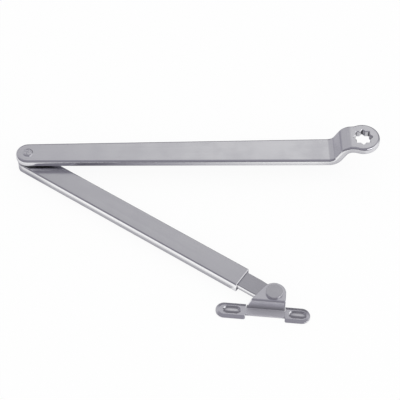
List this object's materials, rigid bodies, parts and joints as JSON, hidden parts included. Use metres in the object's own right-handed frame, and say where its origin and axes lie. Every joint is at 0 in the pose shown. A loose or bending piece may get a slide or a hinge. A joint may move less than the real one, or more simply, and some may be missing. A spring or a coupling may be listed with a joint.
{
  "type": "door closer arm",
  "caption": "Folding link arm for a door closer: slotted shoe with a riveted pivot, telescopic flat-tube forearm and a cranked main arm ending in a star-shaped spindle eye.",
  "frame": {"origin": "midway between the shoe's two screw slots, on the face that lies against the door frame", "axes": "+X along the two slots, +Z out of the mounting face and along every pivot pin, +Y from the slots towards the arms"},
  "size_m": [0.2649, 0.1575, 0.0306],
  "materials": {
    "satin_steel": "satin silver plating over steel, fine brushing",
    "rivet_steel": "plated steel, turned and pressed",
    "bronze": "sintered bearing bronze",
    "nylon": "dark grey moulded nylon",
    "dark_steel": "black oxide"
  },
  "bodies": {
    "shoe": {"shoe_bracket": "satin_steel", "shoe_rivet": "rivet_steel", "shoe_upper_washer": "nylon", "shoe_lower_washer": "rivet_steel"},
    "rod": {"adjusting_rod": "satin_steel", "rod_bush": "bronze"},
    "forearm": {"forearm_tube": "satin_steel", "elbow_block": "rivet_steel", "elbow_bush": "bronze", "clamp_nut": "dark_steel"},
    "clamp": {"clamp_screw": "dark_steel"},
    "main_arm": {"main_arm": "satin_steel", "elbow_rivet": "rivet_steel", "elbow_upper_washer": "nylon", "elbow_lower_washer": "rivet_steel"}
  },
  "joints": [
    {"name": "shoe_pivot", "type": "hinge", "parent": "shoe", "child": "rod", "pos_m": [0.0055, 0.00985, 0.0053], "axis": [0, 0, 1], "range_deg": [-139, 16]},
    {"name": "rod_slide", "type": "slide", "parent": "rod", "child": "forearm", "axis": [-0.8775, 0.4796, 0], "range_m": [-0.008, 0.06]},
    {"name": "elbow_pivot", "type": "hinge", "parent": "forearm", "child": "main_arm", "pos_m": [-0.18202, 0.11234, 0.0053], "axis": [0, 0, 1], "range_deg": [-24, 314]},
    {"name": "clamp_screw_turn", "type": "hinge", "parent": "forearm", "child": "clamp", "pos_m": [-0.03109, 0.02985, 0.0053], "axis": [0.4796, 0.8775, 0], "range_deg": [0, 360]}
  ]
}
